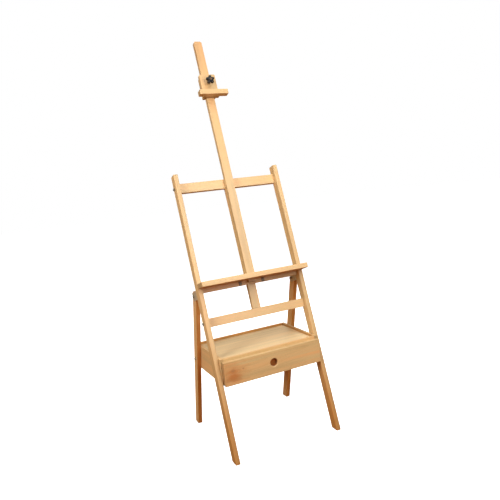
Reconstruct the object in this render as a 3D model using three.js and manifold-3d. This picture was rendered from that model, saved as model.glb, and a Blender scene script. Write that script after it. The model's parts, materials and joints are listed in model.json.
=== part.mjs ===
// A wooden artist easel: a leaning H-frame on two front legs, two hinged rear legs, a case with
// a drawer and a tray top between them, a canvas ledge, and a sliding mast with a top clamp.
//
// Millimetres, +Z up, +X to the painter's right, +Y from the painter towards the rear legs.
// Most pieces are drawn in one of two leaning groups. In the front frame's group, y is the depth
// behind the front face of the legs and z is the distance up along them. In a rear leg's group,
// y is the depth behind that leg's front face and z is the distance up along it.

import * as THREE from 'three';
import { mergeVertices } from 'three/addons/utils/BufferGeometryUtils.js';
import Module from 'manifold-3d';

const wasm = await Module();
wasm.setup();

// ---------------------------------------------------------------- driving dimensions

const GAP = 0.3; // left between two pieces that touch
const PAST = 10; // how far a cutting tool runs past the faces it cuts
const SIDES = 24; // facets round a bolt, a hole or a knob
const CURVE_STEPS = 6; // facets along each curved part of an outline

// Front frame
const LEAN = THREE.MathUtils.degToRad(16.4); // of the front frame, backwards
const FRAME_WIDTH = 500;
const LEG_WIDTH = 20; // seen from the front
const LEG_DEPTH = 40; // seen from the side
const FRONT_LEG_LENGTH = 1225;
const RAIL_THICKNESS = 20;
const RAIL_FRONT = 20; // the rails lie behind the mast, flush with the back of the legs
const UPPER_RAIL = { bottom: 1145, height: 42 };
const MIDDLE_RAIL = { bottom: 703.5, height: 40 };
const LOWER_RAIL = { bottom: 557, height: 38 };
const POST_WIDTH = 38;
const LAP_DEPTH = RAIL_THICKNESS / 2; // of the joint where the post crosses the middle rail

// Mast
const MAST = { width: 38, thickness: 19.7, bottom: 711, top: 1851, cornerRadius: 9 };
const MAST_SLOT = { neck: 7, head: 13.4, neckDepth: 6, headDepth: 5.5, top: 1173 };
const MAST_NOTCH_GAP = 0.6; // round the mast where it passes through the ledge
const MAST_BOLT_HEIGHTS = { upper: 1166, lower: 1020 };
const MAST_BOLT_REACH = { upper: 15, lower: 9 }; // how far the bolts stand out behind the rails

// Canvas ledge
const LEDGE = { width: 498, front: -63, bottom: 721, thickness: 21.5 };
const LEDGE_BRACKET = { width: 14, plate: 1.8, drop: 17, reach: 18 };
const LEDGE_BOLT = { places: [['left', -52], ['right', 57]], height: 709.5, length: 17 };
const LEDGE_SCREW_LENGTH = 12;

// Top canvas clamp
const CLAMP_BLOCK = { width: 76, thickness: 18, bottom: 1567, top: 1675, cornerRadius: 6 };
const CLAMP_CHEEK = { width: 10.7, bottom: 1573, top: 1670 };
const CLAMP_PLATE_THICKNESS = 6;
const CLAMP_LIP = { left: -63, right: 73, depth: 29, bottom: 1566, height: 22 };
const CLAMP_KNOB = { height: 1635.5, neck: 19, clearance: 1.5 };
const CLAMP_SCREW = { inset: 15, length: 20 };
const CLAMP_STUD = { length: 35, padRadius: 4.6, padThickness: 2 }; // its pad presses the mast
const CLAMP_INSERT = { radius: 5, holeRadius: 5.3, shorter: 4 };

// Rear legs
const REAR_LEAN = THREE.MathUtils.degToRad(18); // of the rear legs, forwards
const REAR_FOOT_Y = 460.3; // from the front feet to the rear feet, front face to front face
const REAR_LEG_WIDTH = 19.4;
const REAR_LEG_DEPTH = 40.5;
const REAR_LEG_TOP = 672; // sawn level; its front edge stops the leg from opening further
const HINGE = { y: 270, z: 650 }; // pivot of a rear leg
const HINGE_BRACKET = { plate: 1.7, height: 36, reach: 52 };
const HINGE_SCREW = { below: [13, 1], length: 16 }; // distances under the pivot

// Case and drawer
const CASE = { front: 95, back: 402, bottom: 299.5, top: 410, wall: 12, floorRise: 5 };
const TRAY_DEPTH = 10; // from the rim down to the tray panel
const PANEL = 5.5; // thickness of the tray panel and of the case bottom
const PANEL_GROOVE = 4.7; // depth of the grooves that hold the case bottom
const CASE_BOLT = { y: 371, z: 347 };
const DRAWER_FRONT = { width: 452, thickness: 20, bottom: 297.3, top: 398 };
const DRAWER_BOX = { width: 428, back: 375, wall: 10, floor: 4.3, bottom: 311, top: 385 };
const FINGER_HOLE = { radius: 16.5, rimRadius: 19.5, rimDepth: 3, depth: 14, z: 348 };

// Hardware
const BOLT_RADIUS = 3;
const BOLT_HOLE_RADIUS = 3.3;
const BOLT_HEAD = { radius: 5.6, height: 4 };
const WASHER = { radius: 7, thickness: 1.2 };
const NUT = { radius: 5.8, height: 5 };
const HEAD_OVERLAP = 0.5; // how far a bolt's shank runs into its head
const RAIL_BOLT_REACH = 42; // how far a connector bolt goes into the end of a rail
const SCREW = { radius: 1.7, holeRadius: 2, headRadius: 3.6, headHeight: 2 };
const KNOB = { lobes: 5, lobeRadius: 6.2, lobeCircle: 14, thickness: 13, neck: 8, neckRadius: 8 };
const WING_NUT = { hubRadius: 5.2, hubLength: 7, span: 13.5, wing: 2.4, rise: 12 };

// Derived
const HALF_WIDTH = FRAME_WIDTH / 2;
const INNER = HALF_WIDTH - LEG_WIDTH; // inner face of a front leg, from the centre plane
const RAIL_BACK = RAIL_FRONT + RAIL_THICKNESS;
const MAST_BACK = MAST.thickness;
const CASE_OUTER = INNER - GAP;
const CASE_INNER = CASE_OUTER - CASE.wall;
const SIDE_NAMES = [['left', -1], ['right', 1]];

// ---------------------------------------------------------------- materials

function material(color, roughness, metalness = 0) {
  return new THREE.MeshStandardMaterial({ color, roughness, metalness });
}

const wood = () => material(0xe3b884, 0.45);
const panelWood = () => material(0xd9bd92, 0.5);
const blackPlastic = () => material(0x1c1c1e, 0.4);
const darkSteel = () => material(0x3a332b, 0.45, 0.8);
const platedSteel = () => material(0xb9b09c, 0.4, 0.9);
const brass = () => material(0xb08d4c, 0.35, 0.9);

// ---------------------------------------------------------------- solids

function sorted(a, b) {
  return a < b ? [a, b] : [b, a];
}

// A box given by its two limits along each axis.
function box([x0, x1], [y0, y1], [z0, z1]) {
  const geometry = new THREE.BoxGeometry(x1 - x0, y1 - y0, z1 - z0);
  return geometry.translate((x0 + x1) / 2, (y0 + y1) / 2, (z0 + z1) / 2);
}

// Turns a shape made along +Y so that it runs along the named axis, then moves it.
function placeAlong(geometry, axis, [x, y, z]) {
  if (axis === 'x') geometry.rotateZ(-Math.PI / 2);
  if (axis === '-x') geometry.rotateZ(Math.PI / 2);
  if (axis === '-y') geometry.rotateX(Math.PI);
  if (axis === 'z') geometry.rotateX(Math.PI / 2);
  return geometry.translate(x, y, z);
}

// A round bar from a start point along an axis.
function rod(radius, length, axis, start) {
  const geometry = new THREE.CylinderGeometry(radius, radius, length, SIDES);
  return placeAlong(geometry.translate(0, length / 2, 0), axis, start);
}

// A turned solid: [radius, distance] pairs along its axis, from a start point.
function turned(profile, axis, start) {
  const points = profile.map(([radius, along]) => new THREE.Vector2(radius, along));
  return placeAlong(new THREE.LatheGeometry(points, SIDES), axis, start);
}

// A flat outline in x and z, extruded from one depth to another.
function slab(shape, [y0, y1]) {
  const geometry = new THREE.ExtrudeGeometry(shape, {
    depth: y1 - y0, bevelEnabled: false, curveSegments: CURVE_STEPS,
  });
  return geometry.rotateX(Math.PI / 2).translate(0, y1, 0);
}

// A rectangle in x and z whose two top corners are rounded.
function roundTopped([x0, x1], [z0, z1], radius) {
  const shape = new THREE.Shape();
  shape.moveTo(x0, z0);
  shape.lineTo(x1, z0);
  shape.lineTo(x1, z1 - radius);
  shape.absarc(x1 - radius, z1 - radius, radius, 0, Math.PI / 2);
  shape.lineTo(x0 + radius, z1);
  shape.absarc(x0 + radius, z1 - radius, radius, Math.PI / 2, Math.PI);
  shape.closePath();
  return shape;
}

function toSolid(geometry) {
  const bare = geometry.clone();
  bare.deleteAttribute('normal');
  bare.deleteAttribute('uv');
  const merged = mergeVertices(bare, 1e-4);
  return new wasm.Manifold(new wasm.Mesh({
    numProp: 3,
    vertProperties: new Float32Array(merged.attributes.position.array),
    triVerts: new Uint32Array(merged.index.array),
  }));
}

function toGeometry(solid) {
  const mesh = solid.getMesh();
  const geometry = new THREE.BufferGeometry();
  geometry.setAttribute('position', new THREE.BufferAttribute(mesh.vertProperties, 3));
  geometry.setIndex(new THREE.BufferAttribute(mesh.triVerts, 1));
  geometry.computeVertexNormals();
  return geometry;
}

function join(...geometries) {
  return toGeometry(geometries.map(toSolid).reduce((sum, solid) => sum.add(solid)));
}

function cut(geometry, ...tools) {
  const solids = tools.map(toSolid);
  return toGeometry(solids.reduce((rest, tool) => rest.subtract(tool), toSolid(geometry)));
}

function addPiece(group, name, geometry, surface) {
  const mesh = new THREE.Mesh(geometry, surface);
  mesh.name = name;
  group.add(mesh);
  return mesh;
}

// ---------------------------------------------------------------- hardware shapes

// The head of a bolt: a low dome with a socket, standing on its start point.
function domeHead(axis, start) {
  const { radius, height } = BOLT_HEAD;
  const socket = radius * 0.42;
  return turned([
    [0, 0], [radius, 0], [radius, height * 0.45], [radius * 0.8, height * 0.85],
    [socket * 1.2, height], [socket, height * 0.95], [socket, height * 0.4], [0, height * 0.4],
  ], axis, start);
}

// A bolt with a dome head and a washer under it. The start point is on the face it is pushed
// into, and the axis points the way the head faces.
function headedBolt(axis, start, length) {
  const outward = axis.startsWith('-') ? -1 : 1;
  const along = axis.endsWith('x') ? 0 : 1;
  const at = (distance) => start.map((value, i) => value + (i === along ? outward * distance : 0));
  return join(
    rod(BOLT_RADIUS, length + GAP + WASHER.thickness, axis, at(-length)),
    rod(WASHER.radius, WASHER.thickness, axis, at(GAP)),
    domeHead(axis, at(GAP + WASHER.thickness * 0.9)),
  );
}

// A wood screw with a pan head on its start point, driven against the axis.
function woodScrew(axis, [x, y, z], length) {
  const { radius, headRadius, headHeight } = SCREW;
  return turned([
    [0, -length], [radius * 0.3, -length], [radius, -length + 3], [radius, GAP],
    [headRadius, GAP], [headRadius, GAP + headHeight * 0.5], [headRadius * 0.5, GAP + headHeight],
    [0, GAP + headHeight],
  ], axis, [x, y, z]);
}

// Outline of a star knob: lobes joined by shallow hollows, one lobe pointing up.
function starShape() {
  const { lobes, lobeRadius, lobeCircle } = KNOB;
  const shape = new THREE.Shape();
  const steps = lobes * 12;
  for (let i = 0; i < steps; i += 1) {
    const angle = Math.PI / 2 + (i / steps) * Math.PI * 2;
    const wave = Math.cos(lobes * (angle - Math.PI / 2));
    const radius = lobeCircle + lobeRadius * (0.1 + 0.9 * wave) * (wave > 0 ? 1 : 0.55);
    const point = [radius * Math.cos(angle), radius * Math.sin(angle)];
    if (i === 0) shape.moveTo(...point);
    else shape.lineTo(...point);
  }
  shape.closePath();
  return shape;
}

// A star knob standing on depth y at [x, z]; facing is -1 towards the front and 1 towards the back.
function starKnob([x, y, z], facing, neck = KNOB.neck) {
  const { thickness, neckRadius } = KNOB;
  const axis = facing < 0 ? '-y' : 'y';
  const star = slab(starShape(), sorted(y + facing * neck, y + facing * (neck + thickness)));
  return join(
    star.translate(x, 0, z),
    rod(neckRadius, neck + 1, axis, [x, y, z]),
    turned([
      [0, 0], [neckRadius, 0], [neckRadius, 1.5], [neckRadius - 2, 3], [0, 3],
    ], axis, [x, y + facing * (neck + thickness - 0.2), z]),
  );
}

// A hexagonal nut on a bolt that runs along y.
function hexNut(start) {
  const geometry = new THREE.CylinderGeometry(NUT.radius, NUT.radius, NUT.height, 6);
  return placeAlong(geometry.translate(0, NUT.height / 2, 0), 'y', start);
}

// A wing nut on a bolt that runs along x. facing is the way the wings point.
function wingNut([x, y, z], facing) {
  const { hubRadius, hubLength, span, wing, rise } = WING_NUT;
  const axis = facing < 0 ? '-x' : 'x';
  const shape = new THREE.Shape();
  shape.moveTo(0, 0);
  shape.lineTo(hubRadius, 0);
  shape.quadraticCurveTo(hubRadius + 2, 4, span, rise - 5);
  shape.quadraticCurveTo(span + 1, rise, span - 4, rise);
  shape.quadraticCurveTo(hubRadius, rise - 1, hubRadius - 1, hubLength);
  shape.lineTo(0, hubLength);
  shape.closePath();
  const wings = [1, -1].map((side) => {
    const extruded = new THREE.ExtrudeGeometry(shape, {
      depth: wing, bevelEnabled: false, curveSegments: 5,
    });
    extruded.translate(0, 0, -wing / 2);
    if (side < 0) extruded.rotateY(Math.PI);
    return placeAlong(extruded, axis, [x, y, z]);
  });
  const nut = join(rod(hubRadius, hubLength, axis, [x, y, z]), ...wings);
  return cut(nut, rod(BOLT_HOLE_RADIUS, 60, axis, [x - facing * 20, y, z]));
}

// ---------------------------------------------------------------- front frame

function frontLegGeometry(side) {
  const inner = side * INNER;
  const outer = side * HALF_WIDTH;
  const limits = sorted(inner, outer);
  const floor = new THREE.BoxGeometry(100, 400, 100).translate(side * HALF_WIDTH, 0, -50);
  floor.rotateX(LEAN); // level in the room
  const railHoles = [UPPER_RAIL, LOWER_RAIL].map((rail) => rod(
    BOLT_HOLE_RADIUS, LEG_WIDTH + 20, 'x', [limits[0] - 10, railCentre(), middleOf(rail)],
  ));
  const screwHoles = hingeScrewHeights().map((z) => rod(SCREW.holeRadius, 16, 'y', [
    side * (HALF_WIDTH - LEG_WIDTH / 2), LEG_DEPTH - 15.5, z,
  ]));
  const leg = box(limits, [0, LEG_DEPTH], [-20, FRONT_LEG_LENGTH]);
  return cut(leg, floor, ...railHoles, ...screwHoles);
}

function railCentre() {
  return (RAIL_FRONT + RAIL_BACK) / 2;
}

function middleOf(rail) {
  return rail.bottom + rail.height / 2;
}

function railBox(rail) {
  const heights = [rail.bottom, rail.bottom + rail.height];
  return box([-INNER + GAP, INNER - GAP], [RAIL_FRONT, RAIL_BACK], heights);
}

// The holes at both ends of a rail for its connector bolts.
function connectorHoles(rail) {
  return SIDE_NAMES.map(([, side]) => rod(
    BOLT_HOLE_RADIUS, RAIL_BOLT_REACH + 10, side > 0 ? 'x' : '-x',
    [side * (INNER - RAIL_BOLT_REACH - GAP), railCentre(), middleOf(rail)],
  ));
}

function addFrontFrame(group) {
  for (const [label, side] of SIDE_NAMES) {
    addPiece(group, `front_leg_${label}`, frontLegGeometry(side), wood());
  }
  const mastBolt = (z) => rod(BOLT_HOLE_RADIUS, RAIL_THICKNESS + 20, 'y', [0, RAIL_FRONT - 10, z]);
  addPiece(group, 'upper_rail', cut(
    railBox(UPPER_RAIL), ...connectorHoles(UPPER_RAIL), mastBolt(MAST_BOLT_HEIGHTS.upper),
  ), wood());

  const lapWidth = POST_WIDTH / 2 + GAP;
  const lapHeights = [MIDDLE_RAIL.bottom - PAST, MIDDLE_RAIL.bottom + MIDDLE_RAIL.height + PAST];
  const bracketHoles = LEDGE_BOLT.places.map(([, x]) => rod(
    BOLT_HOLE_RADIUS, LEDGE_BOLT.length, 'y', [x, RAIL_FRONT - 1, LEDGE_BOLT.height],
  ));
  addPiece(group, 'middle_rail', cut(
    railBox(MIDDLE_RAIL),
    box([-lapWidth, lapWidth], [RAIL_FRONT + LAP_DEPTH - GAP / 2, RAIL_BACK + PAST], lapHeights),
    ...bracketHoles,
  ), wood());
  addPiece(group, 'lower_rail', cut(railBox(LOWER_RAIL), ...connectorHoles(LOWER_RAIL)), wood());

  const postBottom = LOWER_RAIL.bottom + LOWER_RAIL.height + GAP;
  const lap = [MIDDLE_RAIL.bottom - GAP, MIDDLE_RAIL.bottom + MIDDLE_RAIL.height + GAP];
  addPiece(group, 'centre_post', cut(
    box([-POST_WIDTH / 2, POST_WIDTH / 2], [RAIL_FRONT, RAIL_BACK], [postBottom, UPPER_RAIL.bottom - GAP]),
    box([-POST_WIDTH, POST_WIDTH], [RAIL_FRONT - PAST, RAIL_FRONT + LAP_DEPTH + GAP / 2], lap),
    mastBolt(MAST_BOLT_HEIGHTS.lower),
  ), wood());
}

// Connector bolts through the legs into the ends of the upper and lower rails.
function addConnectors(group) {
  for (const [label, side] of SIDE_NAMES) {
    for (const [place, rail] of [['upper', UPPER_RAIL], ['lower', LOWER_RAIL]]) {
      const start = [side * HALF_WIDTH, railCentre(), middleOf(rail)];
      const bolt = headedBolt(side > 0 ? 'x' : '-x', start, LEG_WIDTH + RAIL_BOLT_REACH);
      addPiece(group, `${place}_rail_bolt_${label}`, bolt, platedSteel());
    }
  }
}

// ---------------------------------------------------------------- canvas ledge

function addLedge(group) {
  const { width, front, bottom, thickness } = LEDGE;
  const heights = [bottom, bottom + thickness];
  const cutHeights = [bottom - PAST, bottom + thickness + PAST];
  const endNotches = SIDE_NAMES.map(([, side]) => box(
    sorted(side * (INNER - GAP), side * (HALF_WIDTH + PAST)), [-GAP, LEG_DEPTH], cutHeights,
  ));
  const notchHalf = MAST.width / 2 + MAST_NOTCH_GAP;
  const mastNotch = box([-notchHalf, notchHalf], [-MAST_NOTCH_GAP, LEG_DEPTH], cutHeights);
  const screwHoles = LEDGE_BOLT.places.map(([, x]) => rod(
    SCREW.holeRadius, LEDGE_SCREW_LENGTH + 3, 'z', [x, ledgeScrewDepth(), bottom - 1],
  ));
  addPiece(group, 'canvas_ledge', cut(
    box([-width / 2, width / 2], [front, RAIL_FRONT - GAP], heights),
    ...endNotches, mastNotch, ...screwHoles,
  ), wood());
  for (const [label, x] of LEDGE_BOLT.places) addLedgeBracket(group, label, x);
}

function ledgeScrewDepth() {
  return RAIL_FRONT - GAP - LEDGE_BRACKET.reach / 2 - 2;
}

// A small steel angle in the corner under the ledge: screwed up into it and bolted to the rail.
function addLedgeBracket(group, label, x) {
  const { width, plate, drop, reach } = LEDGE_BRACKET;
  const { height, length } = LEDGE_BOLT;
  const wide = [x - width / 2, x + width / 2];
  const top = LEDGE.bottom - GAP;
  const back = RAIL_FRONT - GAP;
  const bracket = join(
    box(wide, [back - plate, back], [top - drop, top]),
    box(wide, [back - reach, back], [top - plate, top]),
  );
  addPiece(group, `ledge_bracket_${label}`, cut(
    bracket,
    rod(BOLT_HOLE_RADIUS, 2 * PAST, 'y', [x, back - PAST, height]),
    rod(SCREW.holeRadius, 2 * PAST, 'z', [x, ledgeScrewDepth(), top - PAST]),
  ), darkSteel());
  const face = back - plate - GAP;
  addPiece(group, `ledge_bolt_${label}`, join(
    rod(BOLT_RADIUS, length, 'y', [x, face - HEAD_OVERLAP, height]),
    domeHead('-y', [x, face, height]),
  ), darkSteel());
  const screw = woodScrew('y', [0, 0, 0], LEDGE_SCREW_LENGTH).rotateX(-Math.PI / 2);
  screw.translate(x, ledgeScrewDepth(), top - plate);
  addPiece(group, `ledge_screw_${label}`, screw, darkSteel());
}

// ---------------------------------------------------------------- mast

function addMast(group) {
  const half = MAST.width / 2;
  const outline = roundTopped([-half, half], [MAST.bottom, MAST.top], MAST.cornerRadius);
  const { neck, head, neckDepth, headDepth, top } = MAST_SLOT;
  const heights = [MAST.bottom - PAST, top];
  addPiece(group, 'mast', cut(
    slab(outline, [0, MAST_BACK]),
    box([-neck / 2, neck / 2], [MAST_BACK - neckDepth - 1, MAST_BACK + PAST], heights),
    box([-head / 2, head / 2], [MAST_BACK - neckDepth - headDepth, MAST_BACK - neckDepth], heights),
  ), wood());
}

// A bolt whose square head runs in the mast's slot, and the washer behind the frame.
function addMastBolt(group, label, z) {
  const headBack = MAST_BACK - MAST_SLOT.neckDepth - GAP;
  const headFront = headBack - MAST_SLOT.headDepth + 2 * GAP;
  const headHalf = MAST_SLOT.head / 2 - GAP;
  addPiece(group, `mast_bolt_${label}`, join(
    box([-headHalf, headHalf], [headFront, headBack], [z - headHalf, z + headHalf]),
    rod(BOLT_RADIUS, RAIL_BACK + MAST_BOLT_REACH[label] - headBack, 'y', [0, headBack - 1, z]),
  ), darkSteel());
  const washerFace = RAIL_BACK + GAP;
  addPiece(group, `mast_washer_${label}`, cut(
    rod(WASHER.radius, WASHER.thickness, 'y', [0, washerFace, z]),
    rod(BOLT_HOLE_RADIUS, 2 * PAST, 'y', [0, washerFace - PAST, z]),
  ), platedSteel());
  return washerFace + WASHER.thickness + GAP;
}

// The upper bolt is locked by a star knob. The lower one only guides the mast and has a nut.
function addMastLocks(group) {
  const { upper, lower } = MAST_BOLT_HEIGHTS;
  const knobFace = addMastBolt(group, 'upper', upper);
  addPiece(group, 'mast_knob', cut(
    starKnob([0, knobFace, upper], 1),
    rod(BOLT_HOLE_RADIUS, 16, 'y', [0, knobFace - 1, upper]),
  ), blackPlastic());
  const nutFace = addMastBolt(group, 'lower', lower);
  addPiece(group, 'mast_nut', cut(
    hexNut([0, nutFace, lower]),
    rod(BOLT_HOLE_RADIUS, 2 * PAST, 'y', [0, nutFace - NUT.height, lower]),
  ), platedSteel());
}

// ---------------------------------------------------------------- top clamp

const clampFront = () => -GAP - CLAMP_BLOCK.thickness;
const clampPlateFront = () => MAST_BACK + GAP;

function clampScrewPlaces() {
  const x = MAST.width / 2 + GAP + CLAMP_CHEEK.width / 2;
  const upper = CLAMP_CHEEK.top - CLAMP_SCREW.inset;
  const lower = CLAMP_CHEEK.bottom + CLAMP_SCREW.inset;
  return [['upper', upper], ['lower', lower]].flatMap(
    ([place, z]) => SIDE_NAMES.map(([label, side]) => [`${place}_${label}`, side * x, z]),
  );
}

// The block in front of the mast, with the two cheeks that run along the mast's sides.
function clampBlockGeometry() {
  const half = CLAMP_BLOCK.width / 2;
  const front = clampFront();
  const inner = MAST.width / 2 + GAP;
  const outer = inner + CLAMP_CHEEK.width;
  const cheeks = SIDE_NAMES.map(([, side]) => box(
    sorted(side * inner, side * outer), [-GAP - 1, MAST_BACK], [CLAMP_CHEEK.bottom, CLAMP_CHEEK.top],
  ));
  const corner = CLAMP_BLOCK.cornerRadius;
  const outline = roundTopped([-half, half], [CLAMP_BLOCK.bottom, CLAMP_BLOCK.top], corner);
  const screwHoles = clampScrewPlaces().map(([, x, z]) => rod(
    SCREW.holeRadius, CLAMP_SCREW.length, 'y', [x, clampPlateFront() + 1 - CLAMP_SCREW.length, z],
  ));
  const insertHole = rod(
    CLAMP_INSERT.holeRadius, CLAMP_BLOCK.thickness + PAST, 'y', [0, front - PAST / 2, CLAMP_KNOB.height],
  );
  return cut(join(slab(outline, [front, -GAP]), ...cheeks), insertHole, ...screwHoles);
}

// The thin board behind the mast, screwed to the two cheeks.
function addClampPlate(group) {
  const outer = MAST.width / 2 + GAP + CLAMP_CHEEK.width;
  const front = clampPlateFront();
  const back = front + CLAMP_PLATE_THICKNESS;
  const plate = box([-outer, outer], [front, back], [CLAMP_CHEEK.bottom, CLAMP_CHEEK.top]);
  const holes = clampScrewPlaces().map(([, x, z]) => rod(
    SCREW.holeRadius, 2 * PAST, 'y', [x, front - PAST / 2, z],
  ));
  addPiece(group, 'clamp_back_plate', cut(plate, ...holes), wood());
  for (const [label, x, z] of clampScrewPlaces()) {
    const screw = woodScrew('y', [x, back, z], CLAMP_SCREW.length);
    addPiece(group, `clamp_screw_${label}`, screw, platedSteel());
  }
}

// The knob's stud is threaded through an insert in the block and presses on the mast.
function addClampKnob(group) {
  const { height, neck, clearance } = CLAMP_KNOB;
  const front = clampFront();
  addPiece(group, 'clamp_insert', cut(
    rod(CLAMP_INSERT.radius, CLAMP_BLOCK.thickness - CLAMP_INSERT.shorter, 'y', [0, front + 0.5, height]),
    rod(BOLT_HOLE_RADIUS, 4 * PAST, 'y', [0, front - PAST, height]),
  ), brass());
  const knobFace = front - clearance;
  addPiece(group, 'clamp_knob', cut(
    starKnob([0, knobFace, height], -1, neck),
    rod(BOLT_HOLE_RADIUS, 2 * PAST, '-y', [0, knobFace + 2, height]),
  ), blackPlastic());
  addPiece(group, 'clamp_stud', join(
    rod(BOLT_RADIUS, CLAMP_STUD.length, '-y', [0, -1.5, height]),
    rod(CLAMP_STUD.padRadius, CLAMP_STUD.padThickness, '-y', [0, -2 * GAP, height]),
  ), platedSteel());
}

function addClamp(group) {
  addPiece(group, 'clamp_block', clampBlockGeometry(), wood());
  addClampPlate(group);
  const { left, right, depth, bottom, height } = CLAMP_LIP;
  const lipBack = clampFront() - GAP;
  const lip = box([left, right], [lipBack - depth, lipBack], [bottom, bottom + height]);
  addPiece(group, 'clamp_lip', lip, wood());
  addClampKnob(group);
}

// ---------------------------------------------------------------- rear legs

// The hinge point in the front frame's own axes: depth behind the front face, and height along it.
function hingeInFrame() {
  return {
    depth: HINGE.y * Math.cos(LEAN) - HINGE.z * Math.sin(LEAN),
    height: HINGE.y * Math.sin(LEAN) + HINGE.z * Math.cos(LEAN),
  };
}

function hingeScrewHeights() {
  const { height } = hingeInFrame();
  return HINGE_SCREW.below.map((below) => height - below);
}

// Turns a point in the room into a rear leg's own axes.
function inRearLeg({ y, z }) {
  const back = y - REAR_FOOT_Y;
  return {
    depth: back * Math.cos(REAR_LEAN) + z * Math.sin(REAR_LEAN),
    height: -back * Math.sin(REAR_LEAN) + z * Math.cos(REAR_LEAN),
  };
}

function rearLegLimits(side) {
  const middle = side * (HALF_WIDTH - LEG_WIDTH / 2);
  return [middle - REAR_LEG_WIDTH / 2, middle + REAR_LEG_WIDTH / 2];
}

function rearLegGeometry(side) {
  const limits = rearLegLimits(side);
  const pivot = inRearLeg(HINGE);
  const caseBolt = inRearLeg(CASE_BOLT);
  const length = REAR_LEG_TOP / Math.cos(REAR_LEAN);
  const ends = [-50, REAR_LEG_TOP + 50].map((z) => {
    const tool = new THREE.BoxGeometry(100, 600, 100).translate(side * HALF_WIDTH, 0, z);
    return tool.rotateX(-REAR_LEAN); // level in the room
  });
  const holes = [pivot, caseBolt].map(({ depth, height }) => rod(
    BOLT_HOLE_RADIUS, REAR_LEG_WIDTH + 20, 'x', [limits[0] - 10, depth, height],
  ));
  return cut(box(limits, [0, REAR_LEG_DEPTH], [-20, length + 20]), ...ends, ...holes);
}

function addRearLeg(group, label, side) {
  const axis = side > 0 ? 'x' : '-x';
  const [low, high] = rearLegLimits(side);
  const outer = side > 0 ? high : low;
  const caseBolt = inRearLeg(CASE_BOLT);
  addPiece(group, `rear_leg_${label}`, rearLegGeometry(side), wood());
  addPiece(group, `case_bolt_${label}`, headedBolt(
    axis, [outer, caseBolt.depth, caseBolt.height], REAR_LEG_WIDTH - GAP,
  ), platedSteel());
}

// The steel bracket on the back of a front leg that holds the top of a rear leg.
function addHinge(group, label, side) {
  const { plate, height: tall, reach } = HINGE_BRACKET;
  const pivot = hingeInFrame();
  const middle = side * (HALF_WIDTH - LEG_WIDTH / 2);
  const inside = REAR_LEG_WIDTH / 2 + GAP;
  const outside = inside + plate;
  const front = LEG_DEPTH + GAP;
  const heights = [pivot.height - tall / 2, pivot.height + tall / 2];
  const web = box([middle - outside, middle + outside], [front, front + plate], heights);
  const ears = [[-outside, -inside], [inside, outside]].map(([from, to]) => box(
    [middle + from, middle + to], [front, front + reach], heights,
  ));
  const screwHoles = hingeScrewHeights().map((z) => rod(
    SCREW.holeRadius, 2 * PAST, 'y', [middle, front - PAST, z],
  ));
  addPiece(group, `hinge_bracket_${label}`, cut(
    join(web, ...ears),
    rod(BOLT_HOLE_RADIUS, 2 * reach, 'x', [middle - reach, pivot.depth, pivot.height]),
    ...screwHoles,
  ), platedSteel());
  hingeScrewHeights().forEach((z, i) => {
    const name = `hinge_screw_${['lower', 'upper'][i]}_${label}`;
    const screw = woodScrew('y', [middle, front + plate, z], HINGE_SCREW.length);
    addPiece(group, name, screw, platedSteel());
  });

  const axis = side > 0 ? 'x' : '-x';
  const outer = middle + side * outside;
  const boltLength = 2 * outside + WING_NUT.hubLength + 3;
  const bolt = headedBolt(axis, [outer, pivot.depth, pivot.height], boltLength);
  addPiece(group, `hinge_bolt_${label}`, bolt, platedSteel());
  const inner = middle - side * (outside + GAP);
  const nut = wingNut([inner, pivot.depth, pivot.height], -side);
  addPiece(group, `hinge_wing_nut_${label}`, nut, darkSteel());
}

// ---------------------------------------------------------------- case

function panelHeights() {
  const trayTop = CASE.top - TRAY_DEPTH;
  const floorBottom = CASE.bottom + CASE.floorRise;
  return { tray: [trayTop - PANEL, trayTop], floor: [floorBottom, floorBottom + PANEL] };
}

function addCase(group) {
  const { tray, floor } = panelHeights();
  const backFace = CASE.back - CASE.wall;
  const slack = ([low, high]) => [low - GAP, high + GAP];
  for (const [label, side] of SIDE_NAMES) {
    const limits = sorted(side * CASE_INNER, side * CASE_OUTER);
    const groove = sorted(side * (CASE_INNER - PAST), side * (CASE_INNER + PANEL_GROOVE + GAP));
    addPiece(group, `case_side_${label}`, cut(
      box(limits, [CASE.front, CASE.back], [CASE.bottom, CASE.top]),
      box(groove, [CASE.front - PAST, backFace], slack(floor)),
      rod(BOLT_HOLE_RADIUS, CASE.wall + 2 * PAST, 'x', [limits[0] - PAST, CASE_BOLT.y, CASE_BOLT.z]),
    ), wood());
  }
  const across = [-CASE_INNER + GAP, CASE_INNER - GAP];
  const intoGrooves = [-CASE_INNER - PANEL_GROOVE, CASE_INNER + PANEL_GROOVE];
  const back = box(across, [backFace + GAP, CASE.back], [CASE.bottom, CASE.top]);
  addPiece(group, 'case_back', back, wood());
  const railBack = CASE.front + CASE.wall;
  const frontRail = box(across, [CASE.front, railBack], [tray[0], CASE.top]);
  addPiece(group, 'case_front_rail', frontRail, wood());
  const trayDepths = [railBack + GAP, backFace - GAP];
  addPiece(group, 'tray_panel', box(across, trayDepths, tray), panelWood());
  const floorDepths = [CASE.front + 1, backFace - GAP];
  addPiece(group, 'case_floor', box(intoGrooves, floorDepths, floor), panelWood());
}

// ---------------------------------------------------------------- drawer

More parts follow.
